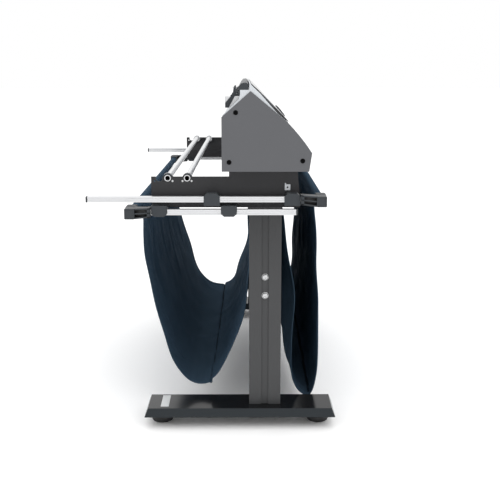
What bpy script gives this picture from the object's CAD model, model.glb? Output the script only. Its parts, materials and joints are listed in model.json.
import json
from math import pi, radians

import bmesh
import bpy
import numpy as np
from bpy.props import FloatProperty, FloatVectorProperty, IntProperty, PointerProperty
from mathutils import Euler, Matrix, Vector

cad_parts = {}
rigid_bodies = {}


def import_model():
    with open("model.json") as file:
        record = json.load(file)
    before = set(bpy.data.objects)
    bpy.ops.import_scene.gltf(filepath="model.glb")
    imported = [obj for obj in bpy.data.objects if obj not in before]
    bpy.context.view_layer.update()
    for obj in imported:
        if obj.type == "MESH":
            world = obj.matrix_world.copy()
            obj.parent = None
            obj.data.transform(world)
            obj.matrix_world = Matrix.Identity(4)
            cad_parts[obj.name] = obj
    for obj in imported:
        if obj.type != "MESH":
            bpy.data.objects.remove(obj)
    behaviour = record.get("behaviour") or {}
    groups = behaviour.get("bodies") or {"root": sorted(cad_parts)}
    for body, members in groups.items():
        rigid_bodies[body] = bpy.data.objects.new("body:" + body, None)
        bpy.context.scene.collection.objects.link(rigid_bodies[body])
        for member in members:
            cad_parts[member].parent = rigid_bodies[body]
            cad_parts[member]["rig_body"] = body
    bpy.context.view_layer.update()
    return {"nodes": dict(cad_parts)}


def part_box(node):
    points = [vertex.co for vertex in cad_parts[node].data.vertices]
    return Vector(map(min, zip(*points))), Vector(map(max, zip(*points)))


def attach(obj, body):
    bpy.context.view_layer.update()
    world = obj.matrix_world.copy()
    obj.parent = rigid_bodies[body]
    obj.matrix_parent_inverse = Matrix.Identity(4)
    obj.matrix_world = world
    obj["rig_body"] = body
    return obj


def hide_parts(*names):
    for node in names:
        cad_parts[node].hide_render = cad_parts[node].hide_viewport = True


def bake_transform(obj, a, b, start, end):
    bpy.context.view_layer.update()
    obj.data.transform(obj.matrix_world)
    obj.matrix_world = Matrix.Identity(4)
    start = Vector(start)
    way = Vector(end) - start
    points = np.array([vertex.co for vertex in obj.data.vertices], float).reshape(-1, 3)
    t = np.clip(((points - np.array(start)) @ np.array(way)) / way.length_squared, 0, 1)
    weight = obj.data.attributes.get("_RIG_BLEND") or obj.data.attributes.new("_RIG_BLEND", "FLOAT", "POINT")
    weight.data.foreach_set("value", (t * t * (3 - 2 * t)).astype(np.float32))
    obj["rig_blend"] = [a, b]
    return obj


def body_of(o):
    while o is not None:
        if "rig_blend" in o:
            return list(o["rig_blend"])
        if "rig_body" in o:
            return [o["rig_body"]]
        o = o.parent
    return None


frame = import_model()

bl_info = {
    "name": "Vinyl cutter on a stand",
    "version": (1, 0, 0),
    "blender": (4, 5, 0),
    "location": "3D View > Sidebar > Cutter",
    "description": "Finishes a roll-fed vinyl cutter with its stand and two cloth pockets",
    "category": "Object",
}

NODES = frame["nodes"]
MM = 0.001
CENTRE_SHIFT = 26.75            # the design's Y is moved by this to centre the part, mm


# ------------------------------------------------------------------ settings

def length(name, description, default, smallest=0.0):
    """A size in metres."""
    return FloatProperty(name=name, description=description, default=default,
                         min=smallest, unit="LENGTH", precision=5)


def colour(name, description, default):
    """A linear colour."""
    return FloatVectorProperty(name=name, description=description, default=default,
                               size=3, min=0.0, max=1.0, subtype="COLOR")


class CutterSizes(bpy.types.PropertyGroup):
    """Sizes that a user would change."""

    plate_round: length("Plate rounding", "Rounding of folded sheet edges", 0.0008)
    cast_round: length("Moulding rounding", "Rounding of moulded parts", 0.0018)
    foot_round: length("Foot rounding", "Rounding of the pressed feet", 0.0022)
    cloth_thick: length("Cloth thickness", "Thickness of the pocket cloth", 0.0011)
    hem_wide: length("Hem width", "Width of the folded hem at each open end", 0.018)
    hem_thick: length("Hem thickness", "Thickness of the folded hem", 0.0034)
    sleeve_gap: length("Sleeve gap", "Cloth's distance from the tubes", 0.0014)
    sleeve_reach: length("Sleeve reach", "Half length of the outer tubes' sleeves", 0.762)
    stitch_step: length("Stitch step", "Distance from stitch to stitch", 0.0062, 0.002)
    stitch_long: length("Stitch length", "Length of a stitch", 0.0040, 0.001)
    stitch_thick: length("Thread thickness", "Thickness of the sewing thread", 0.0009)
    gather_deep: length("Gather depth", "Depth of the soft gathers under the tubes", 0.0017)
    sag_deep: length("Sag", "How far the cloth bellies out at half length", 0.0060)
    pad_radius: length("Pad radius", "Radius of a levelling pad", 0.0375)
    pad_tall: length("Pad height", "Height of a levelling pad", 0.0240)
    corner_long: length("Corner length", "A corner moulding's length on its tube", 0.090)
    corner_deep: length("Corner depth", "A corner box's depth, front to back", 0.031)
    corner_tall: length("Corner height", "A corner box's height", 0.033)
    corner_arm: length("Corner arm", "Length of a corner's arm to its rail", 0.048)
    fin_reach: length("Fin reach", "Half width of a corner arm's fins", 0.0215)
    web_reach: length("Web reach", "Half width of a corner arm's web", 0.0132)
    rail_reach: length("Rail reach", "The rails' distance from the middle", 0.835)
    bolt_radius: length("Bolt radius", "Radius of the beam bolts' heads", 0.0104)
    screw_radius: length("Screw radius", "Radius of the end panels' screws", 0.0072)
    pin_radius: length("Small screw radius", "Radius of the bearings' screws", 0.0036)
    label_long: length("Label length", "Length of the blank label on the foot", 0.103)
    label_wide: length("Label width", "Width of the blank label on the foot", 0.027)
    grip_ribs: IntProperty(name="Pad ribs", description="Ribs round a levelling pad",
                           default=28, min=8, max=60)


class CutterColours(bpy.types.PropertyGroup):
    """Colours that a user would change."""

    panel: colour("End panels", "Textured grey paint of the end panels", (0.0900, 0.0920, 0.0990))
    bracket: colour("Side brackets", "Dark grey paint of the side brackets",
                    (0.0270, 0.0270, 0.0290))
    stand: colour("Columns", "Grey paint of the columns and beam", (0.0500, 0.0510, 0.0530))
    foot: colour("Feet", "Glossy black enamel of the feet", (0.0060, 0.0065, 0.0075))
    moulding: colour("Mouldings", "Dark blue-grey plastic", (0.0300, 0.0345, 0.0395))
    pale: colour("Head covers", "Pale grey moulded covers", (0.520, 0.545, 0.570))
    aluminium: colour("Aluminium", "Anodised rails and rollers", (0.640, 0.645, 0.655))
    cloth: colour("Cloth", "Navy cloth of the pockets", (0.0265, 0.0450, 0.0660))
    thread: colour("Thread", "Sewing thread", (0.060, 0.090, 0.130))
    rubber: colour("Rubber", "Black rubber", (0.012, 0.012, 0.013))
    zinc: colour("Bolts", "Plated steel bolts", (0.560, 0.565, 0.570))
    label: colour("Label", "Blank paper label", (0.540, 0.555, 0.560))
    floor: colour("Floor", "Plain pale floor", (0.950, 0.950, 0.950))


# ------------------------------------------------------------------ mesh helpers

def grid_faces(rows, columns, close_rows=False, close_columns=False):
    """Quads of a grid: face (i, j) joins points (i, j), (i+1, j), (i+1, j+1), (i, j+1)."""
    index = np.arange(rows * columns).reshape(rows, columns)
    if close_rows:
        index = np.vstack([index, index[:1]])
    if close_columns:
        index = np.hstack([index, index[:, :1]])
    return np.stack([index[:-1, :-1], index[1:, :-1], index[1:, 1:], index[:-1, 1:]],
                    axis=-1).reshape(-1, 4)


def mesh_of(name, points, faces, uv=None):
    """A mesh from an array of points and an array of faces, uv is one pair for each point."""
    mesh = bpy.data.meshes.new(name)
    mesh.from_pydata(points.reshape(-1, 3).tolist(), [], faces.tolist())
    if uv is not None:
        corner_points = np.zeros(len(mesh.loops), dtype=np.int32)
        mesh.loops.foreach_get("vertex_index", corner_points)
        layer = mesh.uv_layers.new(name="Metres")
        layer.data.foreach_set("uv", uv.reshape(-1, 2)[corner_points].astype(np.float32).ravel())
    mesh.shade_smooth()
    return mesh


def clean(mesh, merge=1e-6, outward=True):
    """Merges doubles and turns the faces outwards."""
    work = bmesh.new()
    work.from_mesh(mesh)
    bmesh.ops.remove_doubles(work, verts=work.verts, dist=merge)
    bmesh.ops.dissolve_degenerate(work, edges=work.edges, dist=merge)
    if outward:
        bmesh.ops.recalc_face_normals(work, faces=work.faces)
    work.to_mesh(mesh)
    work.free()
    return mesh


def add_piece(name, mesh, material, body=None, stands_for=()):
    """Links a piece, gives it its material, and lets it ride on its body."""
    piece = bpy.data.objects.new(name, mesh)
    bpy.context.scene.collection.objects.link(piece)
    piece.data.materials.clear()
    piece.data.materials.append(bpy.data.materials[material])
    if body:
        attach(piece, body)
    if stands_for:
        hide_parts(*stands_for)
    return piece


def finished(piece):
    """Puts the piece's modifiers into its mesh."""
    bpy.context.view_layer.update()
    ready = piece.evaluated_get(bpy.context.evaluated_depsgraph_get())
    mesh = bpy.data.meshes.new_from_object(ready)
    mesh.name = piece.name
    piece.modifiers.clear()
    piece.data = mesh
    return piece


def softened(node, width, material, segments=2, sharp=32.0):
    """A copy of a designed part with its edges rounded by a bevel."""
    source = NODES[node]
    mesh = source.data.copy()
    mesh.name = node + "_rounded"
    work = bmesh.new()
    work.from_mesh(mesh)
    bmesh.ops.remove_doubles(work, verts=work.verts, dist=2e-6)
    bmesh.ops.dissolve_limit(work, angle_limit=radians(0.8), verts=work.verts,
                             edges=work.edges)
    bmesh.ops.recalc_face_normals(work, faces=work.faces)
    work.to_mesh(mesh)
    work.free()
    mesh.shade_smooth()
    mesh.set_sharp_from_angle(angle=radians(sharp))
    piece = add_piece(node + "_rounded", mesh, material, body_of(source)[0],
                      (node,))
    bevel = piece.modifiers.new("Rounding", "BEVEL")
    bevel.width = width
    bevel.segments = segments
    bevel.limit_method = "ANGLE"
    bevel.angle_limit = radians(sharp)
    bevel.harden_normals = True
    bevel.miter_outer = "MITER_ARC"
    return piece


def revolved(profile, centre, axis="z", steps=64, ripple=0.0, ribs=0):
    """A surface of revolution: point (k, a) is centre + radius_k (cos a, sin a) + height_k
    along the axis. The radius is scaled by 1 + ripple cos(ribs a) where the profile says."""
    profile = np.asarray(profile, float)
    angle = np.linspace(0.0, 2 * pi, steps, endpoint=False)[None, :]
    radius, height = profile[:, :1], profile[:, 1:2]
    wave = profile[:, 2:3] if profile.shape[1] > 2 else np.zeros_like(radius)
    radius = radius * (1.0 + ripple * wave * np.cos(ribs * angle))
    first, second = radius * np.cos(angle), radius * np.sin(angle)
    height = np.broadcast_to(height, first.shape)
    order = {"z": (first, second, height), "x": (height, first, second),
             "y": (second, height, first)}[axis]
    points = np.stack(order, axis=-1) + np.asarray(centre, float)
    return points, grid_faces(len(profile), steps, close_columns=True)


def rounded_rectangle(wide, tall, radius, steps=5):
    """Outline of a rectangle whose corners are quarter circles, round its centre."""
    quarter = np.linspace(0.0, pi / 2, steps)
    outline = []
    for turn, (across, up) in enumerate(((1, 1), (-1, 1), (-1, -1), (1, -1))):
        angle = quarter + turn * pi / 2
        outline.append(np.stack([across * (wide / 2 - radius) + radius * np.cos(angle),
                                 up * (tall / 2 - radius) + radius * np.sin(angle)], axis=-1))
    return np.concatenate(outline)


def slab(outline, layers):
    """A closed slab: the outline at each layer (shrink, height), then both ends run in to
    the outline's middle. Point (layer, k) is outline_k * (1 - shrink / size) at height."""
    size = np.abs(outline).max(axis=0)
    rings = [np.column_stack([outline * (1.0 - shrink / size), np.full(len(outline), height)])
             for shrink, height in layers]
    middle_low = np.tile([0.0, 0.0, layers[0][1]], (len(outline), 1))
    middle_high = np.tile([0.0, 0.0, layers[-1][1]], (len(outline), 1))
    points = np.stack([middle_low, *rings, middle_high])
    return points, grid_faces(len(points), len(outline), close_columns=True)


def placed(points, origin, first, second, third):
    """Points given on three axes, put in the frame: origin + p0 first + p1 second + p2 third."""
    axes = np.array([first, second, third], float)
    return points @ axes + np.asarray(origin, float)


def joined(parts):
    """Several (points, faces) sets as one."""
    points, faces, start = [], [], 0
    for some, quads in parts:
        some = some.reshape(-1, 3)
        points.append(some)
        faces.append(quads + start)
        start += len(some)
    return np.concatenate(points), np.concatenate(faces)


# ------------------------------------------------------------------ shader groups

def new_group(name, inputs, outputs):
    """A shader group with named inputs (name, kind, default) and outputs (name, kind)."""
    group = bpy.data.node_groups.new(name, "ShaderNodeTree")
    for label, kind, default in inputs:
        socket = group.interface.new_socket(label, in_out="INPUT", socket_type=kind)
        socket.default_value = default
    for label, kind in outputs:
        group.interface.new_socket(label, in_out="OUTPUT", socket_type=kind)
    start = group.nodes.new("NodeGroupInput")
    end = group.nodes.new("NodeGroupOutput")
    return group, start, end


def wire(tree, source, target):
    tree.links.new(source, target)


def math_node(tree, operation, first, second=None, clamp=False):
    """A Math node. Its terms are sockets or numbers."""
    node = tree.nodes.new("ShaderNodeMath")
    node.operation = operation
    node.use_clamp = clamp
    for slot, term in zip(node.inputs, (first, second)):
        if isinstance(term, (int, float)):
            slot.default_value = term
        elif term is not None:
            wire(tree, term, slot)
    return node.outputs[0]


def mix_colour(tree, factor, first, second, blend="MIX"):
    """A Mix node for colours."""
    node = tree.nodes.new("ShaderNodeMix")
    node.data_type = "RGBA"
    node.blend_type = blend
    for slot, term in ((node.inputs[0], factor), (node.inputs[6], first),
                       (node.inputs[7], second)):
        if isinstance(term, bpy.types.NodeSocket):
            wire(tree, term, slot)
        else:
            slot.default_value = term
    return node.outputs[2]


def noise(tree, vector, scale, detail=2.0, rough=0.5):
    """A Noise node's value. scale is in features for each metre."""
    node = tree.nodes.new("ShaderNodeTexNoise")
    node.inputs["Detail"].default_value = detail
    node.inputs["Roughness"].default_value = rough
    wire(tree, vector, node.inputs["Vector"])
    if isinstance(scale, (int, float)):
        node.inputs["Scale"].default_value = scale
    else:
        wire(tree, scale, node.inputs["Scale"])
    return node.outputs["Fac"]


def object_place(tree):
    return tree.nodes.new("ShaderNodeTexCoord").outputs["Object"]


COLOUR, NUMBER, VECTOR = "NodeSocketColor", "NodeSocketFloat", "NodeSocketVector"
GREY = (0.5, 0.5, 0.5, 1.0)
WHITE = (1.0, 1.0, 1.0, 1.0)


def varied(tree, base, value, depth):
    """base made lighter and darker: base * (1 + depth (value - 0.5))."""
    shift = math_node(tree, "MULTIPLY", math_node(tree, "SUBTRACT", value, 0.5), depth)
    gain = math_node(tree, "ADD", shift, 1.0)
    grey = tree.nodes.new("ShaderNodeCombineColor")
    for slot in grey.inputs[:3]:
        wire(tree, gain, slot)
    return mix_colour(tree, 1.0, base, grey.outputs[0], "MULTIPLY")


def make_paint_grain():
    """Powder paint and moulded plastic: a fine grain, and slow clouding of the colour."""
    group, start, end = new_group("PaintGrain", [
        ("Colour", COLOUR, GREY), ("Grain", NUMBER, 900.0), ("Cloud", NUMBER, 0.12),
        ("Roughness", NUMBER, 0.5), ("Patchy", NUMBER, 0.10)],
        [("Colour", COLOUR), ("Roughness", NUMBER), ("Height", NUMBER)])
    place = object_place(group)
    fine = noise(group, place, start.outputs["Grain"], 1.5)
    clouds = noise(group, place, 7.0, 4.0, 0.6)
    speck = noise(group, place, 2600.0, 0.0)
    both = math_node(group, "ADD", math_node(group, "MULTIPLY", clouds, 0.6),
                     math_node(group, "MULTIPLY", speck, 0.4))
    wire(group, varied(group, start.outputs["Colour"], both, start.outputs["Cloud"]),
         end.inputs["Colour"])
    patch = math_node(group, "MULTIPLY", math_node(group, "SUBTRACT", clouds, 0.5),
                      start.outputs["Patchy"])
    wire(group, math_node(group, "ADD", start.outputs["Roughness"], patch, True),
         end.inputs["Roughness"])
    wire(group, fine, end.inputs["Height"])


def make_drawn_lines():
    """Drawn or brushed metal: noise stretched by Along, so that lines run one way."""
    group, start, end = new_group("DrawnLines", [
        ("Colour", COLOUR, GREY), ("Along", VECTOR, (3.0, 700.0, 700.0)),
        ("Contrast", NUMBER, 0.2), ("Roughness", NUMBER, 0.3)],
        [("Colour", COLOUR), ("Roughness", NUMBER), ("Height", NUMBER)])
    stretch = group.nodes.new("ShaderNodeVectorMath")
    stretch.operation = "MULTIPLY"
    wire(group, object_place(group), stretch.inputs[0])
    wire(group, start.outputs["Along"], stretch.inputs[1])
    lines = noise(group, stretch.outputs[0], 1.0, 3.0, 0.6)
    wire(group, varied(group, start.outputs["Colour"], lines, start.outputs["Contrast"]),
         end.inputs["Colour"])
    shift = math_node(group, "MULTIPLY", math_node(group, "SUBTRACT", lines, 0.5), 0.25)
    wire(group, math_node(group, "ADD", start.outputs["Roughness"], shift, True),
         end.inputs["Roughness"])
    wire(group, lines, end.inputs["Height"])


def make_edge_light():
    """A mask that is 1 on rounded edges and 0 on flats, broken up by noise: it compares the
    face's direction with its direction averaged over Reach."""
    group, start, end = new_group("EdgeLight", [
        ("Reach", NUMBER, 0.0015), ("Gain", NUMBER, 2.2)], [("Mask", NUMBER)])
    round_off = group.nodes.new("ShaderNodeBevel")
    round_off.samples = 4
    wire(group, start.outputs["Reach"], round_off.inputs["Radius"])
    flat = group.nodes.new("ShaderNodeNewGeometry")
    likeness = group.nodes.new("ShaderNodeVectorMath")
    likeness.operation = "DOT_PRODUCT"
    wire(group, round_off.outputs[0], likeness.inputs[0])
    wire(group, flat.outputs["Normal"], likeness.inputs[1])
    turn = math_node(group, "SUBTRACT", 1.0, likeness.outputs["Value"])
    strong = math_node(group, "MULTIPLY", turn, start.outputs["Gain"], True)
    broken = noise(group, object_place(group), 130.0, 3.0)
    wire(group, math_node(group, "MULTIPLY", strong, broken, True), end.inputs["Mask"])


def make_dust():
    """A thin film of dust on faces that look up: the face's Z direction times slow noise."""
    group, start, end = new_group("Dust", [("Amount", NUMBER, 0.1)], [("Mask", NUMBER)])
    apart = group.nodes.new("ShaderNodeSeparateXYZ")
    wire(group, group.nodes.new("ShaderNodeNewGeometry").outputs["Normal"], apart.inputs[0])
    up = math_node(group, "MULTIPLY", math_node(group, "MAXIMUM", apart.outputs["Z"], 0.0),
                   start.outputs["Amount"])
    film = noise(group, object_place(group), 32.0, 5.0, 0.62)
    wire(group, math_node(group, "MULTIPLY", up, film, True), end.inputs["Mask"])


def make_weave():
    """Plain-woven cloth on a UV map in metres: warp and weft ribs |sin| that take turns at
    being on top by the sign of their product, with each yarn a little lighter or darker."""
    group, start, end = new_group("Weave", [
        ("Colour", COLOUR, GREY), ("Highlight", COLOUR, WHITE), ("Threads", NUMBER, 1200.0),
        ("Slub", NUMBER, 0.25), ("Roughness", NUMBER, 0.85)],
        [("Colour", COLOUR), ("Roughness", NUMBER), ("Height", NUMBER)])
    apart = group.nodes.new("ShaderNodeSeparateXYZ")
    chart = group.nodes.new("ShaderNodeUVMap")
    chart.uv_map = "Metres"
    wire(group, chart.outputs[0], apart.inputs[0])
    waves = []
    for side in ("X", "Y"):
        turn = math_node(group, "MULTIPLY", math_node(
            group, "MULTIPLY", apart.outputs[side], start.outputs["Threads"]), pi)
        waves.append(math_node(group, "SINE", turn))
    over = math_node(group, "GREATER_THAN", math_node(group, "MULTIPLY", *waves), 0.0)
    warp, weft = (math_node(group, "ABSOLUTE", wave) for wave in waves)
    high = math_node(group, "ADD", math_node(group, "MULTIPLY", warp, over), math_node(
        group, "MULTIPLY", weft, math_node(group, "SUBTRACT", 1.0, over)))
    streaks = []
    for stretch in ((14.0, 900.0, 1.0), (900.0, 14.0, 1.0)):
        pull = group.nodes.new("ShaderNodeVectorMath")
        pull.operation = "MULTIPLY"
        pull.inputs[1].default_value = stretch
        wire(group, chart.outputs[0], pull.inputs[0])
        streaks.append(noise(group, pull.outputs[0], 1.0, 1.0))
    slubs = math_node(group, "MULTIPLY", math_node(group, "ADD", *streaks), 0.5)
    clouds = noise(group, chart.outputs[0], 9.0, 4.0, 0.6)
    tone = math_node(group, "ADD", math_node(group, "MULTIPLY", slubs, 0.55),
                     math_node(group, "MULTIPLY", clouds, 0.45))
    base = varied(group, start.outputs["Colour"], tone, start.outputs["Slub"])
    worn = math_node(group, "MULTIPLY", math_node(group, "POWER", high, 3.0), 0.35)
    wire(group, mix_colour(group, worn, base, start.outputs["Highlight"]),
         end.inputs["Colour"])
    rough = math_node(group, "MULTIPLY", math_node(group, "SUBTRACT", clouds, 0.5), 0.15)
    wire(group, math_node(group, "ADD", start.outputs["Roughness"], rough, True),
         end.inputs["Roughness"])
    fuzz = math_node(group, "ADD", high, math_node(group, "MULTIPLY", slubs, 0.6))
    wire(group, fuzz, end.inputs["Height"])


# ------------------------------------------------------------------ materials

def place_group(tree, name, **values):
    """One of the shader groups in a material, with its own values."""
    node = tree.nodes.new("ShaderNodeGroup")
    node.node_tree = bpy.data.node_groups[name]
    for label, value in values.items():
        if isinstance(value, bpy.types.NodeSocket):
            wire(tree, value, node.inputs[label])
        else:
            node.inputs[label].default_value = value
    return node


def four(rgb, gain=1.0):
    return (*(min(part * gain, 1.0) for part in rgb), 1.0)


def blank_material(name, **constants):
    """A material with one Principled shader, its constants set on its own sockets. The
    designed parts came with plain finishes of the same names, which step aside."""
    if name in bpy.data.materials:
        bpy.data.materials[name].name = name + "_designed"
    material = bpy.data.materials.new(name)
    material.use_nodes = True
    tree = material.node_tree
    shader = next(node for node in tree.nodes if node.type == "BSDF_PRINCIPLED")
    for label, value in constants.items():
        shader.inputs[label.replace("_", " ")].default_value = value
    return tree, shader


def add_bump(tree, shader, height, distance, strength=1.0):
    bump = tree.nodes.new("ShaderNodeBump")
    bump.inputs["Strength"].default_value = strength
    bump.inputs["Distance"].default_value = distance
    wire(tree, height, bump.inputs["Height"])
    wire(tree, bump.outputs[0], shader.inputs["Normal"])


def grained(name, rgb, roughness, grain, cloud, deep, edge=0.3, dust=0.10, edge_gain=2.4,
            skirt=0.0, **constants):
    """Paint or moulded plastic: grain, clouded colour, lighter edges and a film of dust.
    skirt is the share of blue-grey floor dust that clings to the upright faces."""
    tree, shader = blank_material(name, **constants)
    paint = place_group(tree, "PaintGrain", Colour=four(rgb), Grain=grain, Cloud=cloud,
                        Roughness=roughness)
    light = place_group(tree, "EdgeLight", Gain=edge_gain)
    edges = math_node(tree, "MULTIPLY", light.outputs["Mask"], edge)
    shown = mix_colour(tree, edges, paint.outputs["Colour"], four(rgb, 3.0))
    film = place_group(tree, "Dust", Amount=dust)
    shown = mix_colour(tree, film.outputs["Mask"], shown, (0.52, 0.51, 0.49, 1.0))
    if skirt:
        facing = tree.nodes.new("ShaderNodeSeparateXYZ")
        geometry = tree.nodes.new("ShaderNodeNewGeometry")
        wire(tree, geometry.outputs["True Normal"], facing.inputs[0])
        level = math_node(tree, "ABSOLUTE", facing.outputs["Z"])
        upright = math_node(tree, "SUBTRACT", 1.0, level, True)
        shown = mix_colour(tree, math_node(tree, "MULTIPLY", upright, skirt), shown,
                           (0.080, 0.105, 0.122, 1.0))
    wire(tree, shown, shader.inputs["Base Color"])
    rougher = math_node(tree, "ADD", paint.outputs["Roughness"], film.outputs["Mask"], True)
    wire(tree, rougher, shader.inputs["Roughness"])
    add_bump(tree, shader, paint.outputs["Height"], deep)


def drawn(name, rgb, roughness, along, contrast, deep, **constants):
    """Metal with fine lines one way, and a little dust."""
    tree, shader = blank_material(name, Metallic=1.0, **constants)
    lines = place_group(tree, "DrawnLines", Colour=four(rgb), Along=along,
                        Contrast=contrast, Roughness=roughness)
    film = place_group(tree, "Dust", Amount=0.06)
    shown = mix_colour(tree, film.outputs["Mask"], lines.outputs["Colour"],
                       (0.60, 0.59, 0.57, 1.0))
    wire(tree, shown, shader.inputs["Base Color"])
    wire(tree, lines.outputs["Roughness"], shader.inputs["Roughness"])
    add_bump(tree, shader, lines.outputs["Height"], deep)


def woven(name, rgb, threads, deep, sheen):
    """Cloth: a weave on the piece's own map, with a soft sheen."""
    tree, shader = blank_material(name, Sheen_Weight=sheen, Sheen_Roughness=0.45,
                                  Specular_IOR_Level=0.02)
    shader.inputs["Sheen Tint"].default_value = (0.20, 0.42, 0.75, 1.0)
    weave = place_group(tree, "Weave", Colour=four(rgb), Highlight=four(rgb, 2.2),
                        Threads=threads)
    wire(tree, weave.outputs["Colour"], shader.inputs["Base Color"])
    wire(tree, weave.outputs["Roughness"], shader.inputs["Roughness"])
    add_bump(tree, shader, weave.outputs["Height"], deep)


def smoked_glass(name):
    """The hood's smoked lens: tinted, clear, with faint wiping marks."""
    tree, shader = blank_material(name, Transmission_Weight=0.86, IOR=1.49)
    lines = place_group(tree, "DrawnLines", Colour=(0.080, 0.085, 0.095, 1.0),
                        Along=(6.0, 60.0, 60.0), Contrast=0.12, Roughness=0.05)
    film = place_group(tree, "Dust", Amount=0.05)
    wire(tree, mix_colour(tree, film.outputs["Mask"], lines.outputs["Colour"],
                          (0.5, 0.5, 0.5, 1.0)), shader.inputs["Base Color"])
    rough = math_node(tree, "ADD", film.outputs["Mask"], 0.05, True)
    wire(tree, rough, shader.inputs["Roughness"])


def circuit_board(name):
    """Green solder mask with straight lighter tracks, from rounded place coordinates."""
    tree, shader = blank_material(name, Specular_IOR_Level=0.5)
    bricks = tree.nodes.new("ShaderNodeTexBrick")
    bricks.inputs["Scale"].default_value = 60.0
    bricks.inputs["Mortar Size"].default_value = 0.03
    bricks.inputs["Color1"].default_value = (0.010, 0.090, 0.045, 1.0)
    bricks.inputs["Color2"].default_value = (0.014, 0.110, 0.055, 1.0)
    bricks.inputs["Mortar"].default_value = (0.050, 0.200, 0.110, 1.0)
    wire(tree, object_place(tree), bricks.inputs["Vector"])
    film = place_group(tree, "Dust", Amount=0.3)
    wire(tree, mix_colour(tree, film.outputs["Mask"], bricks.outputs["Color"],
                          (0.40, 0.40, 0.38, 1.0)), shader.inputs["Base Color"])
    wire(tree, math_node(tree, "ADD", film.outputs["Mask"], 0.35, True),
         shader.inputs["Roughness"])


ALONG_X, ALONG_Y = (3.0, 900.0, 900.0), (900.0, 3.0, 900.0)


class CUTTER_OT_materials(bpy.types.Operator):
    """Builds the shader groups and every finish"""

    bl_idname = "cutter.materials"
    bl_label = "Finishes"

    def execute(self, context):
        make_paint_grain()
        make_drawn_lines()
        make_edge_light()
        make_dust()
        make_weave()
        hue = context.scene.cutter_colours
        grained("panel_grey", hue.panel, 0.46, 1100.0, 0.10, 0.00010, edge=0.25,
                Specular_IOR_Level=0.36)
        grained("bracket_grey", hue.bracket, 0.44, 1000.0, 0.14, 0.00010, edge=0.25, dust=0.03,
                Specular_IOR_Level=0.24)
        grained("stand_grey", hue.stand, 0.42, 1100.0, 0.14, 0.00008, dust=0.05,
                Specular_IOR_Level=0.30)
        grained("gloss_black", hue.foot, 0.20, 260.0, 0.25, 0.00002, edge=0.35, dust=0.0,
                skirt=0.24, Specular_IOR_Level=0.25)
        grained("dark_plastic", hue.moulding, 0.42, 1500.0, 0.16, 0.00012, edge=0.40,
                dust=0.04, Specular_IOR_Level=0.30)
        grained("pale_plastic", hue.pale, 0.34, 1600.0, 0.05, 0.00006, edge=0.10, dust=0.05)
        grained("rubber", hue.rubber, 0.62, 700.0, 0.30, 0.00020, edge=0.35, dust=0.25)
        grained("black_screw", (0.0018, 0.0018, 0.002), 0.50, 900.0, 0.20, 0.00006, edge=0.0,
                dust=0.0, Specular_IOR_Level=0.05)
        grained("label_paper", hue.label, 0.55, 2200.0, 0.04, 0.00003, edge=0.0, dust=0.02)
        drawn("rail_aluminium", hue.aluminium, 0.36, ALONG_Y, 0.10, 0.00003)
        drawn("roller_aluminium", hue.aluminium, 0.30, ALONG_X, 0.10, 0.00003)
        drawn("tube_steel", (0.50, 0.505, 0.51), 0.30, ALONG_X, 0.20, 0.00003)
        drawn("zinc_steel", hue.zinc, 0.28, (300.0, 300.0, 300.0), 0.25, 0.00003)
        drawn("inner_metal", (0.42, 0.42, 0.43), 0.42, ALONG_X, 0.20, 0.00004)
        woven("navy_cloth", hue.cloth, 900.0, 0.00018, 0.05)
        woven("seam_tape", four(hue.cloth, 0.22)[:3], 900.0, 0.00018, 0.0)
        woven("seam_thread", hue.thread, 2400.0, 0.00010, 0.20)
        smoked_glass("smoked")
        circuit_board("board")
        grained("screen_glass", (0.006, 0.007, 0.010), 0.07, 200.0, 0.10, 0.000005,
                edge=0.1, dust=0.03, Coat_Weight=0.5, Coat_Roughness=0.03)
        grained("red_rubber", (0.290, 0.020, 0.018), 0.45, 900.0, 0.15, 0.00008)
        return {"FINISHED"}


# Finish of every designed part. Those that keep their designed shape get it in place.
FINISHES = {
    "gloss_black": ["foot_left", "foot_right"],
    "stand_grey": ["column_left", "column_right", "cross_beam"],
    "bracket_grey": ["side_bracket_left", "side_bracket_right"],
    "panel_grey": ["end_panel_left", "end_panel_right"],
    "pale_plastic": ["end_covers", "front_apron", "rear_apron", "hood_frame",
                     "cable_tie_base", "cutting_strip"],
    "dark_plastic": ["roller_bearings", "upper_rail_clamps", "lower_rail_clamps",
                     "front_corners", "rear_corners", "tube_sockets", "upper_rail_caps",
                     "lower_rail_caps", "beam_cap", "pinch_arms", "lift_lever", "carriage",
                     "control_panel", "power_inlet", "power_switch", "drum_bearings"],
    "rail_aluminium": ["upper_rails", "lower_rails"],
    "roller_aluminium": ["media_roller_rear", "media_roller_front", "guide_beam", "platen"],
    "tube_steel": ["front_tube", "rear_tube", "ridge_tubes", "feed_drum", "drive_pulley",
                   "idler_pulley", "blade_holder"],
    "zinc_steel": ["levelling_studs", "frame_bolts", "beam_bolts"],
    "inner_metal": ["base_pan", "power_supply", "drum_motor", "carriage_motor"],
    "rubber": ["levelling_pads", "pinch_rollers", "carriage_belt"],
    "red_rubber": ["pause_button"],
    "black_screw": ["panel_screws"],
    "smoked": ["hood_window"],
    "board": ["main_board"],
    "navy_cloth": ["rear_basket", "front_basket"],
}


class CUTTER_OT_designed_parts(bpy.types.Operator):
    """Gives every designed part its finish where it keeps its designed shape"""

    bl_idname = "cutter.designed_parts"
    bl_label = "Designed parts"

    def execute(self, context):
        for finish, names in FINISHES.items():
            for name in names:
                part = NODES[name]
                if not part.material_slots:
                    part.data.materials.append(bpy.data.materials[finish])
                for slot in part.material_slots:
                    slot.material = bpy.data.materials[finish]
        bare = set(NODES) - {name for names in FINISHES.values() for name in names}
        if bare:
            raise RuntimeError("parts with no finish: %s" % sorted(bare))
        return {"FINISHED"}


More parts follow.
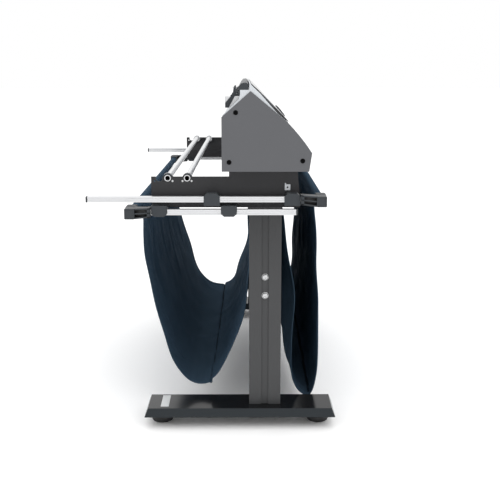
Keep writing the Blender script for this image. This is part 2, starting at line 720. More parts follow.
def soften_all(names, width, segments=2):
    """Rounds the edges of several designed parts and keeps their finish."""
    finish_of = {name: finish for finish, group in FINISHES.items() for name in group}
    return [softened(name, width, finish_of[name],
                     segments)
            for name in names]


class CUTTER_OT_stand(bpy.types.Operator):
    """Rounds the pressed feet, the columns, the beam and the folded side brackets"""

    bl_idname = "cutter.stand"
    bl_label = "Stand"

    def execute(self, context):
        sizes = context.scene.cutter_sizes
        soften_all(("foot_left", "foot_right"), sizes.foot_round, 3)
        soften_all(("column_left", "column_right", "cross_beam"), sizes.cast_round, 3)
        soften_all(("side_bracket_left", "side_bracket_right"), sizes.plate_round)
        return {"FINISHED"}


class CUTTER_OT_levelling_pads(bpy.types.Operator):
    """Turns the four ribbed rubber pads"""

    bl_idname = "cutter.levelling_pads"
    bl_label = "Levelling pads"

    def execute(self, context):
        sizes = context.scene.cutter_sizes
        low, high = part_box("levelling_pads")
        reach, tall = sizes.pad_radius, sizes.pad_tall
        profile = [(0.0, 0.0, 0), (0.72, 0.0, 0), (0.79, 0.02, 0), (0.85, 0.08, 0.3),
                   (0.91, 0.18, 0.8), (0.95, 0.28, 1), (0.97, 0.42, 1), (0.975, 0.52, 0.7),
                   (0.985, 0.56, 0), (0.985, 0.74, 0), (0.95, 0.84, 0), (0.86, 0.91, 0),
                   (0.74, 0.97, 0), (0.60, 0.99, 0), (0.42, 0.99, 0), (0.0, 0.99, 0)]
        profile = np.array(profile) * (reach, tall, 1.0)
        pads = []
        for across in (low.x + reach, high.x - reach):
            for back in (low.y + reach, high.y - reach):
                pads.append(revolved(profile, (across, back, 0.0), steps=168,
                                     ripple=0.022, ribs=sizes.grip_ribs))
        mesh = clean(mesh_of("levelling_pads_ribbed", *joined(pads)))
        add_piece("levelling_pads_ribbed", mesh, "rubber", "stand",
                  ("levelling_pads",))
        return {"FINISHED"}


class CUTTER_OT_basket_frames(bpy.types.Operator):
    """Rounds the rails, clamps and caps of the two sliding frames"""

    bl_idname = "cutter.basket_frames"
    bl_label = "Basket frames"

    def execute(self, context):
        sizes = context.scene.cutter_sizes
        soften_all(("upper_rail_clamps", "lower_rail_clamps"), sizes.cast_round, 3)
        soften_all(("upper_rails", "lower_rails"), sizes.plate_round)
        soften_all(("upper_rail_caps", "lower_rail_caps"), sizes.plate_round)
        return {"FINISHED"}


def block_between(first, second):
    """A closed six-sided block: two opposite faces of four points, and the four sides that
    join point k of one to point k of the other."""
    points = np.array([*first, *second], float)
    faces = np.array([(3, 2, 1, 0), (4, 5, 6, 7), (0, 1, 5, 4), (1, 2, 6, 5), (2, 3, 7, 6),
                      (3, 0, 4, 7)])
    return points, faces


def moulded_corner(side, tube, rail_height, sizes):
    """The box on the cross tube, with two raised bands and a sunk end face, and the three
    fins and end block of the arm to the rail. Then, apart, the web that the fins stand on.
    tube is (Y, Z) of the cross tube, and side is -1 for the left end. Heights along the
    arm run in straight lines from their root, at the box, to their tip, at the rail."""
    tube_y, tube_z = tube
    ahead = -np.sign(tube_y)
    deep, tall, long = sizes.corner_deep, sizes.corner_tall, sizes.corner_long
    past_rail, band_rise = 0.025, 0.0012
    outline = rounded_rectangle(deep, tall, 0.003)
    layers = [(0.0015, 0.0), (0.0, 0.0015)]
    for band in (0.014, long - 0.048):
        layers += [(0.0, band), (-band_rise, band + 0.001), (-band_rise, band + 0.005),
                   (0.0, band + 0.006)]
    layers += [(0.0, long - 0.0012), (0.0012, long), (0.0040, long), (0.0046, long - 0.0016)]
    box, box_faces = slab(outline, layers)
    box_at = (side * (sizes.rail_reach + past_rail - long), tube_y, tube_z)
    box = placed(box, box_at, (0, 1, 0), (0, 0, 1), (side, 0, 0))

    root = tube_y + ahead * (deep / 2 - 0.002)
    tip = tube_y + ahead * (deep / 2 + sizes.corner_arm)
    rail = side * sizes.rail_reach

    def bar(wide, high, thick, start=root):
        """A straight bar from start to the tip; high and thick are (root, tip) pairs."""
        ends = []
        for edge in (start, tip):
            part = (edge - root) / (tip - root)
            middle = (1 - part) * (tube_z + high[0]) + part * (rail_height + high[1])
            half = ((1 - part) * thick[0] + part * thick[1]) / 2
            ends.append([(rail - wide, edge, middle - half), (rail + wide, edge, middle - half),
                         (rail + wide, edge, middle + half), (rail - wide, edge, middle + half)])
        return block_between(*ends)

    fins = [bar(sizes.fin_reach, (level * 0.0140, level * 0.0125), (0.0046, 0.0040))
            for level in (-1, 0, 1)]
    end_block = bar(sizes.fin_reach, (0.0, 0.0), (0.0326, 0.0290), tip - ahead * 0.010)
    web = bar(sizes.web_reach, (0.0, 0.0), (0.0300, 0.0270))
    return [(box, box_faces), *fins, end_block], [web]


def button_head(centre, side, radius, tall, steps=36):
    """A domed screw head with a six-sided recess, on the machine's X axis: the dome's
    profile turned round the axis, the recess's radius waved six times a turn."""
    profile = np.array([(0.0, 0.40, 0), (0.30, 0.40, 1), (0.42, 0.46, 1), (0.43, 0.95, 1),
                        (0.50, 1.0, 0.3), (0.66, 0.96, 0), (0.84, 0.80, 0), (0.95, 0.52, 0),
                        (1.0, 0.22, 0), (1.0, 0.0, 0), (0.0, 0.0, 0)])
    return revolved(profile * (radius, side * tall, 1.0), centre, "x", steps, 0.075, 6)


class CUTTER_OT_corner_mouldings(bpy.types.Operator):
    """Builds the ribbed corner mouldings of both sliding frames"""

    bl_idname = "cutter.corner_mouldings"
    bl_label = "Corner mouldings"

    def execute(self, context):
        sizes = context.scene.cutter_sizes
        for place, rails in (("front", "upper_rails"), ("rear", "lower_rails")):
            low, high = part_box(place + "_tube")
            tube = ((low.y + high.y) / 2, (low.z + high.z) / 2)
            low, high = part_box(rails)
            parts, webs = [], []
            for side in (-1, 1):
                fins, web = moulded_corner(side, tube, (low.z + high.z) / 2, sizes)
                parts, webs = parts + fins, webs + web
            name = place + "_corners_webs"
            add_piece(name, clean(mesh_of(name, *joined(webs))), "rubber",
                      place + "_frame")
            name = place + "_corners_moulded"
            piece = add_piece(name, clean(mesh_of(name, *joined(parts))), "dark_plastic",
                              place + "_frame", (place + "_corners",))
            piece.data.set_sharp_from_angle(angle=radians(32.0))
            bevel = piece.modifiers.new("Rounding", "BEVEL")
            bevel.width, bevel.segments = sizes.plate_round, 2
            bevel.limit_method, bevel.angle_limit = "ANGLE", radians(40.0)
            bevel.harden_normals = True
        return {"FINISHED"}


# Places of the fasteners (Y, Z) in the design's millimetres, the same at both ends.
BOLT_SPOTS = ((-184.5, 449.0), (-184.5, 512.0))
SCREW_SPOTS = ((-91.0, 1059.0), (-71.0, 913.0), (-290.0, 917.0))
PIN_SPOTS = ((105.0, 847.0), (74.0, 847.0), (46.0, 847.0))
TIE_SPOT = (-249.5, 828.0)
CHANNEL_DEEP = 0.005


def on_end(across, spot):
    """A place given as X in metres and a (Y, Z) of the design."""
    return across, (spot[0] + CENTRE_SHIFT) * MM, spot[1] * MM


class CUTTER_OT_fasteners(bpy.types.Operator):
    """Turns the beam bolts, the end panels' screws and the bearings' screws"""

    bl_idname = "cutter.fasteners"
    bl_label = "Fasteners"

    def execute(self, context):
        sizes = context.scene.cutter_sizes
        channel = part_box("column_right")[1].x - CHANNEL_DEEP
        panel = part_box("end_panel_right")[1].x
        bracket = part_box("side_bracket_right")[1].x
        washer = np.array([(0.0, 0.0), (1.0, 0.0), (1.0, 0.0014), (0.96, 0.0018),
                           (0.0, 0.0018)])
        bolts, screws, pins = [], [], []
        for side in (-1, 1):
            for spot in BOLT_SPOTS:
                centre = on_end(side * channel, spot)
                bolts += [revolved(washer * (sizes.bolt_radius * 1.12, side), centre, "x", 40),
                          button_head(centre, side, sizes.bolt_radius, 0.0088)]
            screws += [button_head(on_end(side * panel, spot), side, sizes.screw_radius,
                                   0.0030) for spot in SCREW_SPOTS]
            pins += [button_head(on_end(side * bracket, spot), side, sizes.pin_radius,
                                 0.0022, 24) for spot in PIN_SPOTS]
        for name, parts, finish, node in (
                ("beam_bolts_domed", bolts, "zinc_steel", "beam_bolts"),
                ("panel_screws_domed", screws, "black_screw", "panel_screws"),
                ("bearing_screws", pins, "zinc_steel", None)):
            mesh = clean(mesh_of(name, *joined(parts)))
            mesh.set_sharp_from_angle(angle=radians(40.0))
            add_piece(name, mesh, finish, "stand", (node,) if node else ())
        plug = button_head(on_end(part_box("cable_tie_base")[0].x, TIE_SPOT), -1, 0.0027,
                           0.0006, 24)
        add_piece("cable_tie_plug", clean(mesh_of("cable_tie_plug", *plug)), "black_screw",
                  "stand")
        return {"FINISHED"}


class CUTTER_OT_head(bpy.types.Operator):
    """Rounds the end panels, covers, hood and the mechanism that shows at the rear"""

    bl_idname = "cutter.head"
    bl_label = "Cutting head"

    def execute(self, context):
        sizes = context.scene.cutter_sizes
        soften_all(("end_panel_left", "end_panel_right", "front_apron", "rear_apron",
                    "hood_frame", "cable_tie_base"), sizes.plate_round)
        soften_all(("end_covers", "beam_cap", "control_panel", "lift_lever", "pinch_arms",
                    "carriage", "roller_bearings"), sizes.plate_round * 1.3)
        soften_all(("hood_window", "guide_beam", "power_inlet", "power_switch"),
                   sizes.plate_round * 0.6)
        return {"FINISHED"}


# ------------------------------------------------------------------ pockets

# Each pocket's cross-section (Y, Z) in the design's millimetres, without its sleeves: the
# left end's section, then the right end's. The left end hangs lower.
REAR_SECTIONS = (
    [(232, 730), (224, 636), (217, 539), (196, 410), (164, 291), (132, 190), (84, 120),
     (30, 102), (-20, 128), (-62, 200), (-98, 292), (-122, 390), (-131, 520), (-131, 724)],
    [(232, 730), (216, 640), (189, 520), (155, 400), (122, 290), (84, 215), (40, 176),
     (-25, 172), (-68, 205), (-92, 268), (-118, 345), (-132, 430), (-133, 560),
     (-131, 724)])
FRONT_SECTIONS = (
    [(-355, 768), (-354, 700), (-359, 560), (-369, 420), (-370, 200), (-365, 120),
     (-350, 68), (-324, 59), (-290, 90), (-266, 150), (-253, 240), (-244, 380),
     (-240, 560), (-237, 724)],
    [(-355, 768), (-354, 700), (-350, 520), (-346, 430), (-341, 330), (-334, 225),
     (-324, 182), (-308, 168), (-290, 185), (-272, 240), (-258, 330), (-250, 430),
     (-243, 560), (-237, 724)])
REAR_TUBE, REAR_RIDGE = (234.0, 753.0), (-142.0, 738.0)
FRONT_TUBE, FRONT_RIDGE = (-352.0, 790.0), (-226.0, 738.0)
REAR_SEAM, FRONT_SEAM = 0.523, 0.500
TUBE_RADIUS = 10.0
BODY_STEPS, SLEEVE_STEPS = 900, 400


def curve_through(points, steps=24):
    """Catmull-Rom curve through the points: on each span the cubic whose end slopes are
    half the step between the neighbours."""
    points = np.asarray(points, float)
    padded = np.vstack([2 * points[0] - points[1], points, 2 * points[-1] - points[-2]])
    part = np.linspace(0.0, 1.0, steps, endpoint=False)[:, None, None]
    before, here, there, after = padded[:-3], padded[1:-2], padded[2:-1], padded[3:]
    spans = 0.5 * (2 * here + (there - before) * part
                   + (2 * before - 5 * here + 4 * there - after) * part ** 2
                   + (3 * here - before - 3 * there + after) * part ** 3)
    return np.vstack([spans.transpose(1, 0, 2).reshape(-1, points.shape[1]), points[-1:]])


def evenly(points, count):
    """The polyline cut into equal steps of its own length."""
    steps = np.linalg.norm(np.diff(points, axis=0), axis=1)
    along = np.concatenate([[0.0], np.cumsum(steps)])
    at = np.linspace(0.0, along[-1], count)
    return np.stack([np.interp(at, along, points[:, k]) for k in range(points.shape[1])],
                    axis=-1)


def path_length(points):
    return float(np.linalg.norm(np.diff(points, axis=0), axis=1).sum())


def sleeve(centre, radius, leaving, turn, flap):
    """The loop round a tube: a circle about its centre from the leaving angle through turn,
    then a flap that hangs back down beside the cloth. Angles are in degrees."""
    angle = np.radians(np.linspace(leaving, leaving + turn, 28))
    loop = np.stack([centre[0] + radius * np.cos(angle),
                     centre[1] + radius * np.sin(angle)], axis=-1)
    return np.vstack([loop, np.asarray(flap, float)])


def smooth(value, start, end):
    """0 before start, 1 after end, and 3t^2 - 2t^3 between."""
    part = np.clip((value - start) / (end - start), 0.0, 1.0)
    return part * part * (3 - 2 * part)


class Pocket:
    """A cloth trough hung from two tubes. Its surface is a mix, by the place along the
    machine, of the two end sections, moved outwards along its normal by folds(x, s).
    outward is 1 or -1, the side of the normal that looks out of the pocket. The cloth is
    wider by the share flare where it lies on its outer tube."""

    def __init__(self, sections, outer_loop, inner_loop, half, folds, seam, outward,
                 flare):
        self.half = half
        self.outward = outward
        self.folds = folds
        self.seam = seam
        self.flare = flare
        bodies = [curve_through(np.vstack([outer_loop[:1], points, inner_loop[:1]]))
                  for points in sections]
        round_outer, round_inner = path_length(outer_loop), path_length(inner_loop)
        self.lengths = [(round_outer + path_length(body) + round_inner) * MM
                        for body in bodies]
        self.outer_share = round_outer * MM / np.mean(self.lengths)
        self.inner_share = round_inner * MM / np.mean(self.lengths)
        # Sleeve, body and sleeve take the same shares at both ends of the machine.
        counts = (SLEEVE_STEPS, BODY_STEPS, SLEEVE_STEPS)
        stops = (0.0, self.outer_share, 1 - self.inner_share, 1.0)
        self.grid = np.concatenate([np.linspace(start, stop, count) for start, stop, count
                                    in zip(stops, stops[1:], counts)])
        self.ends = [np.vstack([evenly(line, count) for line, count in
                                zip((outer_loop[::-1], body, inner_loop), counts)]) * MM
                     + (CENTRE_SHIFT * MM, 0.0) for body in bodies]

    def bare(self, across, share):
        """The unfolded surface at x = across and at a share of the section's length."""
        left, right = (np.stack([np.interp(share, self.grid, end[:, k]) for k in (0, 1)],
                                axis=-1) for end in self.ends)
        mix = ((across + self.half) / (2 * self.half))[..., None]
        flat = left * (1 - mix) + right * mix
        part = share / self.outer_share
        on_tube = smooth(part, 0.45, 0.62) * (1 - smooth(part, 0.86, 1.30))
        wide = across * (1 + self.flare * on_tube)
        return np.concatenate([wide[..., None], flat], axis=-1)

    def normal(self, function, across, share):
        """Cross product of the surface's two slopes, taken over small steps."""
        step_x, step_s = 0.002, 0.0012
        along = function(across + step_x, share) - function(across - step_x, share)
        down = (function(across, np.clip(share + step_s, 0, 1))
                - function(across, np.clip(share - step_s, 0, 1)))
        out = np.cross(along, down)
        return out / np.maximum(np.linalg.norm(out, axis=-1, keepdims=True), 1e-12)

    def at(self, across, share):
        """The folded surface."""
        base = self.bare(across, share)
        out = self.normal(self.bare, across, share)
        return base + out * (self.outward * self.folds(across, share))[..., None]

    def sheet(self, across, share, rise=0.0):
        """Points on a grid of across and share, lifted by rise along the normal."""
        across, share = np.broadcast_arrays(across, share)
        points = self.at(across, share)
        if np.any(rise):
            points = points + self.normal(self.at, across, share) * np.asarray(rise)[..., None]
        return points

    def chart(self, across, share):
        """The cloth's flat place in metres, for its weave."""
        across, share = np.broadcast_arrays(across, share)
        return np.stack([across + self.half, share * np.mean(self.lengths)], axis=-1)


def ripple(across, share, table):
    """A sum of waves: depth sin(2 pi (x + lean s) / pitch + phase) for each row."""
    total = np.zeros(np.broadcast(across, share).shape)
    for depth, pitch, lean, phase in table:
        total = total + depth * np.sin(2 * pi * (across + lean * share) / pitch + phase)
    return total


def creases(across, share, table):
    """A sum of valleys: each runs along x = start + lean (s - from), is width wide, and
    fades in and out between its two shares. The profile is a Gaussian."""
    total = np.zeros(np.broadcast(across, share).shape)
    for depth, start, lean, width, low, high in table:
        off = (across - start - lean * (share - low)) / width
        fade = smooth(share, low, low + 0.05) * (1 - smooth(share, high - 0.06, high))
        total = total + depth * np.exp(-off * off) * fade
    return total


GATHERS = ((0.42, 0.118, 0.10, 0.4), (0.30, 0.071, -0.14, 2.1), (0.20, 0.047, 0.22, 4.0),
           (0.34, 0.263, 0.05, 1.2))
REAR_CREASES = ((-0.0050, -0.47, 0.10, 0.014, 0.10, 0.42),
                (-0.0036, -0.30, -0.22, 0.012, 0.11, 0.38),
                (0.0042, -0.40, 0.16, 0.022, 0.09, 0.36),
                (-0.0040, -0.08, 0.12, 0.013, 0.10, 0.34),
                (-0.0044, 0.16, -0.20, 0.015, 0.10, 0.40),
                (-0.0036, 0.38, 0.16, 0.012, 0.10, 0.36),
                (0.0040, 0.28, -0.06, 0.026, 0.12, 0.44),
                (-0.0052, -0.56, 1.10, 0.012, 0.27, 0.42),
                (-0.0044, -0.56, 0.80, 0.011, 0.33, 0.46),
                (-0.0038, -0.56, 1.50, 0.014, 0.38, 0.49),
                (-0.0040, 0.56, -1.20, 0.012, 0.30, 0.45),
                (-0.0036, 0.56, -0.80, 0.012, 0.40, 0.54),
                (-0.0034, -0.20, 1.40, 0.016, 0.44, 0.60),
                (-0.0034, 0.24, -1.30, 0.015, 0.46, 0.62),
                (-0.0040, -0.52, -0.10, 0.013, 0.70, 0.92),
                (-0.0036, -0.18, 0.14, 0.012, 0.72, 0.92),
                (-0.0038, 0.20, -0.12, 0.014, 0.68, 0.92),
                (-0.0032, 0.48, 0.10, 0.012, 0.72, 0.92))
FRONT_CREASES = ((-0.0040, -0.50, 0.16, 0.013, 0.06, 0.34),
                 (-0.0034, -0.24, -0.12, 0.012, 0.06, 0.30),
                 (0.0036, -0.36, 0.10, 0.024, 0.06, 0.38),
                 (-0.0036, 0.02, 0.16, 0.014, 0.06, 0.32),
                 (-0.0036, 0.30, -0.18, 0.013, 0.06, 0.36),
                 (-0.0042, 0.52, -0.12, 0.012, 0.06, 0.34),
                 (-0.0048, -0.56, 1.30, 0.012, 0.38, 0.50),
                 (-0.0044, -0.57, 0.90, 0.010, 0.45, 0.56),
                 (-0.0038, 0.56, -1.20, 0.012, 0.40, 0.53),
                 (-0.0034, -0.10, 1.10, 0.015, 0.42, 0.58),
                 (-0.0034, 0.26, -1.10, 0.015, 0.44, 0.58),
                 (-0.0040, -0.46, 0.10, 0.013, 0.62, 0.93),
                 (-0.0034, -0.12, -0.14, 0.012, 0.66, 0.93),
                 (-0.0038, 0.22, 0.12, 0.014, 0.62, 0.93),
                 (-0.0032, 0.50, -0.10, 0.012, 0.66, 0.93))


def cloth_folds(sizes, half, table, seam, seam_step, curl):
    """The folds of a pocket as a function of x and s: gathers that fade away from both
    sleeves, single creases, a belly at half length, a groove and a step where the two
    panels meet, fluttering open edges, and the left edge's curl, which is deepest
    between its two shares."""
    depth, low, high, reach = curl

    def folds(across, share):
        hung = np.exp(-np.maximum(share - 0.08, 0.0) / 0.13) + 0.8 * np.exp(
            -np.maximum(0.92 - share, 0.0) / 0.11)
        free = smooth(share, 0.055, 0.11) * (1 - smooth(share, 0.90, 0.955))
        gather = sizes.gather_deep * hung * ripple(across, share, GATHERS)
        belly = sizes.sag_deep * np.cos(pi * across / (2 * half)) * np.sin(pi * share)
        step = seam_step * (smooth(share, seam - 0.0012, seam + 0.0012)
                            * (1 - smooth(share, seam + 0.10, seam + 0.22)))
        groove = seam_step * np.exp(-((share - seam) / 0.0030) ** 2)
        soft = 0.0016 * ripple(across, share, ((1.0, 0.31, 1.9, 0.3), (0.8, 0.19, -1.4, 1.7),
                                               (0.6, 0.127, 0.9, 3.9)))
        edge = np.exp(-(half - np.abs(across)) / 0.030)
        flutter = edge * 0.0016 * np.sin(2 * pi * share / 0.21 + 2.0)
        middle = (low + high) / 2
        swell = smooth(share, low, middle) * (1 - smooth(share, middle, high))
        near = 1 - smooth(across, -half, -half + reach)
        return (free * (gather + 0.9 * creases(across, share, table) + soft + flutter + belly
                        - step + groove) - depth * swell * near)
    return folds


def pocket_shapes(sizes, half):
    """The two pockets. Each tube's sleeve is a circle just clear of the tube."""
    gap = sizes.sleeve_gap / MM + TUBE_RADIUS
    reach = sizes.sleeve_reach / half - 1
    rear = Pocket(
        REAR_SECTIONS,
        sleeve(REAR_TUBE, gap, -30.0, 245.0, [(226.8, 742.0), (228.6, 728.0),
                                                   (228.4, 712.0), (226.6, 696.0)]),
        sleeve(REAR_RIDGE, gap, 2.0, 200.0, [(-149.0, 722.0), (-138.0, 706.0),
                                                  (-134.6, 692.0), (-134.2, 676.0)]),
        half, cloth_folds(sizes, half, REAR_CREASES, REAR_SEAM, 0.0075,
                          (0.0, 0.3, 0.6, 0.1)), REAR_SEAM, 1.0, reach)
    front = Pocket(
        FRONT_SECTIONS,
        sleeve(FRONT_TUBE, gap, 210.0, -245.0, [(-344.0, 779.0), (-350.6, 766.0),
                                                     (-351.0, 750.0), (-350.4, 734.0)]),
        sleeve(FRONT_RIDGE, gap, 178.0, -200.0, [(-219.0, 722.0), (-230.0, 706.0),
                                                     (-233.6, 692.0), (-234.0, 676.0)]),
        half, cloth_folds(sizes, half, FRONT_CREASES, FRONT_SEAM, 0.0025,
                          (0.042, 0.50, 0.97, 0.15)), FRONT_SEAM, -1.0, reach)
    return rear, front


def stitches(centres, along, up, size_long, size_thick):
    """One small eight-faced bead for each stitch: centre + a along + b side + c up, where
    (a, b, c) are the six points of a stretched octahedron."""
    along = along / np.linalg.norm(along, axis=1, keepdims=True)
    up = up / np.linalg.norm(up, axis=1, keepdims=True)
    side = np.cross(up, along)
    half_long, half_thick = size_long / 2, size_thick / 2
    bead = np.array([(-half_long, 0, -half_thick * 0.6), (half_long, 0, -half_thick * 0.6),
                     (0, half_thick, 0), (0, -half_thick, 0), (0, 0, half_thick),
                     (0, 0, -half_thick)])
    frames = np.stack([along, side, up], axis=1)
    points = centres[:, None, :] + np.einsum("pk,nkj->npj", bead, frames)
    faces = np.array([(1, 2, 4), (2, 0, 4), (0, 3, 4), (3, 1, 4), (2, 1, 5), (0, 2, 5),
                      (3, 0, 5), (1, 3, 5)])
    faces = faces[None] + (np.arange(len(centres)) * len(bead))[:, None, None]
    return points.reshape(-1, 3), faces.reshape(-1, 3)


def row_of_stitches(pocket, across, share, sizes, rise):
    """Stitches along a line on the cloth, on both of its sides."""
    points = pocket.sheet(across, share)
    steps = np.linalg.norm(np.diff(points, axis=0), axis=1)
    along = np.concatenate([[0.0], np.cumsum(steps)])
    count = int(along[-1] / sizes.stitch_step)
    at = (np.arange(count) + 0.5) * sizes.stitch_step
    spread_x, spread_s = (np.interp(at, along, np.broadcast_to(term, along.shape))
                          for term in (across, share))
    centre = pocket.at(spread_x, spread_s)
    ahead = np.gradient(centre, axis=0)
    out = pocket.normal(pocket.at, spread_x, spread_s)
    return [stitches(centre + turn * out * rise, ahead, turn * out, sizes.stitch_long,
                     sizes.stitch_thick) for turn in (1.0, -1.0)]


def make_pocket(pocket, name, node, frame_body, blend_from, blend_to, sizes):
    """The cloth, its two hems, its lengthwise seam tape and its stitching."""
    half, mean_long = pocket.half, float(np.mean(pocket.lengths))
    across = np.linspace(-half, half, 169)[:, None]
    by_seam = pocket.seam + np.linspace(-0.008, 0.008, 17)
    share = np.sort(np.concatenate([np.linspace(0.0, 1.0, 216), by_seam]))[None, :]
    points = pocket.sheet(across, share)
    cloth_mesh = mesh_of(name, points, grid_faces(*points.shape[:2]),
                         pocket.chart(across, share))
    cloth = add_piece(name, cloth_mesh, "navy_cloth", stands_for=(node,))
    wall = cloth.modifiers.new("Thickness", "SOLIDIFY")
    wall.thickness = sizes.cloth_thick
    wall.offset = 0.0
    finished(cloth)

    # The hem is a flat loop round the cloth's open end: it goes in on one face, round the
    # edge and back on the other face.
    turn = np.linspace(-pi / 2, pi / 2, 7)
    thick = sizes.hem_thick / 2
    inward = np.concatenate([[sizes.hem_wide, sizes.hem_wide * 0.98, sizes.hem_wide * 0.6],
                             thick * (1 - np.cos(turn)),
                             [sizes.hem_wide * 0.6, sizes.hem_wide * 0.98, sizes.hem_wide]])
    rise = np.concatenate([[-0.3 * thick, -0.8 * thick, -thick], thick * np.sin(turn),
                           [thick, 0.8 * thick, 0.3 * thick]])
    hem_share = np.linspace(0.0, 1.0, 420)[None, :]
    hems = []
    for side in (-1.0, 1.0):
        edge = side * (half + 0.0006 - inward)[:, None]
        lift = np.broadcast_to(rise[:, None], (len(inward), hem_share.shape[1]))
        strip = pocket.sheet(edge, hem_share, lift)
        faces = grid_faces(len(inward), hem_share.shape[1], close_rows=True)
        chart = pocket.chart(edge, hem_share)
        hems.append((strip, faces if side < 0 else faces[:, ::-1], chart))
    hem_points, hem_faces = joined([hem[:2] for hem in hems])
    chart = np.concatenate([hem[2].reshape(-1, 2) for hem in hems])
    hem = add_piece(name + "_hems", clean(mesh_of(name + "_hems", hem_points, hem_faces,
                                                  chart)), "navy_cloth")

    # The seam tape lies along the machine where the two cloth panels meet.
    wide, high = 0.0046 / mean_long, sizes.cloth_thick * 1.35
    ring = np.linspace(0.0, 2 * pi, 12, endpoint=False)
    tape_share = (pocket.seam + wide * np.cos(ring))[None, :]
    tape_rise = np.sign(np.sin(ring)) * np.abs(np.sin(ring)) ** 0.5 * high
    tape_x = np.linspace(-half + 0.002, half - 0.002, 150)[:, None]
    tape_points = pocket.sheet(tape_x, tape_share,
                               np.broadcast_to(tape_rise[None, :], (150, 12)))
    tape_mesh = mesh_of(name + "_seam", tape_points, grid_faces(150, 12, close_columns=True),
                        pocket.chart(tape_x, tape_share))
    work = bmesh.new()
    work.from_mesh(tape_mesh)
    bmesh.ops.holes_fill(work, edges=work.edges, sides=0)
    bmesh.ops.recalc_face_normals(work, faces=work.faces)
    work.to_mesh(tape_mesh)
    work.free()
    tape = add_piece(name + "_seam", tape_mesh, "seam_tape")

    rows = []
    line = np.linspace(0.02, 0.98, 500)
    for side in (-1.0, 1.0):
        rows += row_of_stitches(pocket, np.full(500, side * (half - sizes.hem_wide * 0.8)),
                                line, sizes, thick)
    reach = np.linspace(-half + 0.004, half - 0.004, 300)
    for at in (pocket.seam - wide * 0.55, pocket.seam + wide * 0.55):
        rows += row_of_stitches(pocket, reach, np.full(300, at), sizes, high)
    for at in (pocket.outer_share * 1.03 + 0.012, 1.0 - pocket.inner_share * 1.03 - 0.012):
        rows += row_of_stitches(pocket, reach, np.full(300, at), sizes,
                                sizes.cloth_thick * 0.6)
    stitch_points, stitch_faces = joined(rows)
    thread_mesh = mesh_of(name + "_stitching", stitch_points, stitch_faces,
                          stitch_points[:, :2])
    thread = add_piece(name + "_stitching", thread_mesh, "seam_thread")

    extras = [hem, tape, thread]
    for piece in (cloth, *extras):
        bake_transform(piece, "stand", frame_body, start=blend_from, end=blend_to)


class CUTTER_OT_pockets(bpy.types.Operator):
    """Hangs the two navy cloth pockets from their tubes"""

    bl_idname = "cutter.pockets"
    bl_label = "Cloth pockets"

    def execute(self, context):
        sizes = context.scene.cutter_sizes
        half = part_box("rear_basket")[1].x
        rear, front = pocket_shapes(sizes, half)
        ridge_low, ridge_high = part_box("ridge_tubes")
        rear_tube, front_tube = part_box("rear_tube"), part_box("front_tube")
        clear = 0.004
        make_pocket(rear, "rear_pocket", "rear_basket", "rear_frame",
                    (0.0, ridge_high.y + clear, 0.5), (0.0, rear_tube[0].y - clear - 0.02, 0.5),
                    sizes)
        make_pocket(front, "front_pocket", "front_basket", "front_frame",
                    (0.0, ridge_low.y - clear, 0.5), (0.0, front_tube[1].y + clear, 0.5),
                    sizes)
        return {"FINISHED"}


# ------------------------------------------------------------------ small pieces

class CUTTER_OT_foot_label(bpy.types.Operator):
    """Lays the blank paper label on the left foot"""

    bl_idname = "cutter.foot_label"
    bl_label = "Foot label"

    def execute(self, context):
        sizes = context.scene.cutter_sizes
        low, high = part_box("foot_left")
        outline = rounded_rectangle(sizes.label_long, sizes.label_wide, 0.0015)
        points, faces = slab(outline, ((0.0, 0.0), (0.0, 0.00018), (0.0001, 0.00024)))
        centre = (low.x + 0.0795, high.y - 0.0661, high.z + 0.00002)
        mesh = clean(mesh_of("foot_label", placed(points, centre, (1, 0, 0), (0, 1, 0),
                                                  (0, 0, 1)), faces))
        add_piece("foot_label", mesh, "label_paper", "stand")
        return {"FINISHED"}


class CUTTER_OT_touch_screen(bpy.types.Operator):
    """Sets the touch screen's glass into the control panel's sloping face"""

    bl_idname = "cutter.touch_screen"
    bl_label = "Touch screen"

    def execute(self, context):
        lean = Vector((0.0, 33.0, 40.0)).normalized()
        out = Vector((0.0, -40.0, 33.0)).normalized()
        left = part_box("control_panel")[0].x
        middle = Vector((left + 0.058, (-290.5 + CENTRE_SHIFT) * MM, 995.0 * MM))
        outline = rounded_rectangle(0.094, 0.044, 0.004)
        points, faces = slab(outline, ((0.0, -0.0006), (0.0, 0.0003), (0.0004, 0.0007)))
        mesh = clean(mesh_of("touch_screen", placed(points, middle, (1, 0, 0), lean, out),
                             faces))
        add_piece("touch_screen", mesh, "screen_glass", "stand")
        return {"FINISHED"}


# ------------------------------------------------------------------ stage

def add_light(name, place, aim, size, power, tint=(1.0, 1.0, 1.0)):
    """A soft square light that looks at aim."""
    lamp = bpy.data.lights.new(name, "AREA")
    lamp.shape = "SQUARE"
    lamp.size = size
    lamp.energy = power
    lamp.color = tint
    light = bpy.data.objects.new(name, lamp)
    light.location = place
    light.rotation_euler = (Vector(aim) - Vector(place)).to_track_quat("-Z", "Y").to_euler()
    bpy.context.scene.collection.objects.link(light)


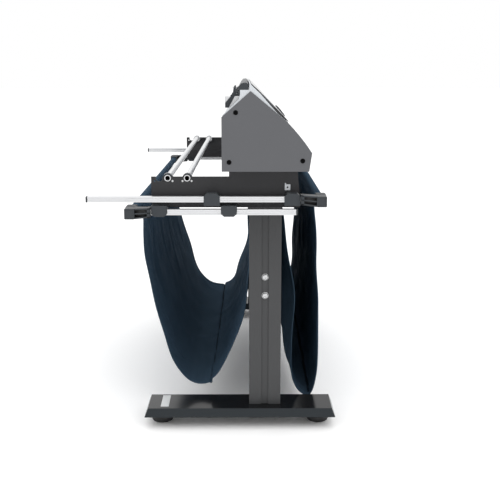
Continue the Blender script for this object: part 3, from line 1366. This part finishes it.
class CUTTER_OT_stage(bpy.types.Operator):
    """Lays a plain pale floor, with soft lights and the camera"""

    bl_idname = "cutter.stage"
    bl_label = "Stage"

    def execute(self, context):
        hue = context.scene.cutter_colours
        # The floor is a flat disc far wider than any view of it.
        profile = np.stack([np.array([0.0, 3.0, 12.0, 60.0]), np.zeros(4)], axis=-1)
        points, faces = revolved(profile, (0.0, 0.0, -0.0005), steps=96)
        mesh = clean(mesh_of("floor", points, faces), outward=False)
        grained("floor_paint", hue.floor, 0.9, 40.0, 0.01, 0.00001, edge=0.0, dust=0.0,
                Specular_IOR_Level=0.05)
        floor = add_piece("floor", mesh, "floor_paint")

        world = bpy.data.worlds.new("Studio")
        context.scene.world = world
        world.use_nodes = True
        sky = world.node_tree.nodes["Background"]
        sky.inputs["Color"].default_value = (1.0, 1.0, 1.0, 1.0)
        sky.inputs["Strength"].default_value = 1.0
        add_light("key", (-4.6, -3.2, 4.6), (0.0, 0.0, 0.6), 3.6, 62.0)
        add_light("fill", (-4.2, 4.0, 3.2), (0.0, 0.0, 0.6), 3.6, 26.0)
        add_light("top", (0.5, 0.0, 5.6), (0.0, 0.0, 0.5), 4.0, 40.0)
        add_light("back", (5.0, 1.0, 3.6), (0.0, 0.0, 0.6), 3.6, 16.0)
        sun = bpy.data.lights.new("room", "SUN")
        sun.energy, sun.angle = 0.80, radians(100.0)
        room = bpy.data.objects.new("room", sun)
        context.scene.collection.objects.link(room)
        context.scene.view_settings.view_transform = "Standard"

        lens = bpy.data.cameras.new("camera")
        lens.sensor_width = 36.0
        lens.lens = 60.75
        camera = bpy.data.objects.new("camera", lens)
        camera.location = (-3.3914, -0.0943, 1.1750)
        camera.rotation_euler = Euler((radians(90.0 - 11.896), 0.0, radians(-90.28)))
        context.scene.collection.objects.link(camera)
        context.scene.camera = camera
        return {"FINISHED"}


# ------------------------------------------------------------------ add-on

STEPS = (CUTTER_OT_materials, CUTTER_OT_designed_parts, CUTTER_OT_stand,
         CUTTER_OT_levelling_pads, CUTTER_OT_basket_frames, CUTTER_OT_corner_mouldings,
         CUTTER_OT_fasteners, CUTTER_OT_head, CUTTER_OT_pockets, CUTTER_OT_foot_label,
         CUTTER_OT_touch_screen, CUTTER_OT_stage)


class CUTTER_PT_panel(bpy.types.Panel):
    """Lists the steps, sizes and colours of the cutter"""

    bl_idname = "CUTTER_PT_panel"
    bl_label = "Vinyl cutter"
    bl_space_type = "VIEW_3D"
    bl_region_type = "UI"
    bl_category = "Cutter"

    def draw(self, context):
        for step in STEPS:
            self.layout.operator(step.bl_idname)
        for group in (context.scene.cutter_sizes, context.scene.cutter_colours):
            for name in group.__annotations__:
                self.layout.prop(group, name)


CLASSES = (CutterSizes, CutterColours, *STEPS, CUTTER_PT_panel)


def register():
    for item in CLASSES:
        bpy.utils.register_class(item)
    bpy.types.Scene.cutter_sizes = PointerProperty(type=CutterSizes)
    bpy.types.Scene.cutter_colours = PointerProperty(type=CutterColours)


def unregister():
    del bpy.types.Scene.cutter_colours
    del bpy.types.Scene.cutter_sizes
    for item in reversed(CLASSES):
        bpy.utils.unregister_class(item)


def main():
    register()
    for step in STEPS:
        group, name = step.bl_idname.split(".")
        getattr(getattr(bpy.ops, group), name)()


if __name__ == "__main__":
    main()
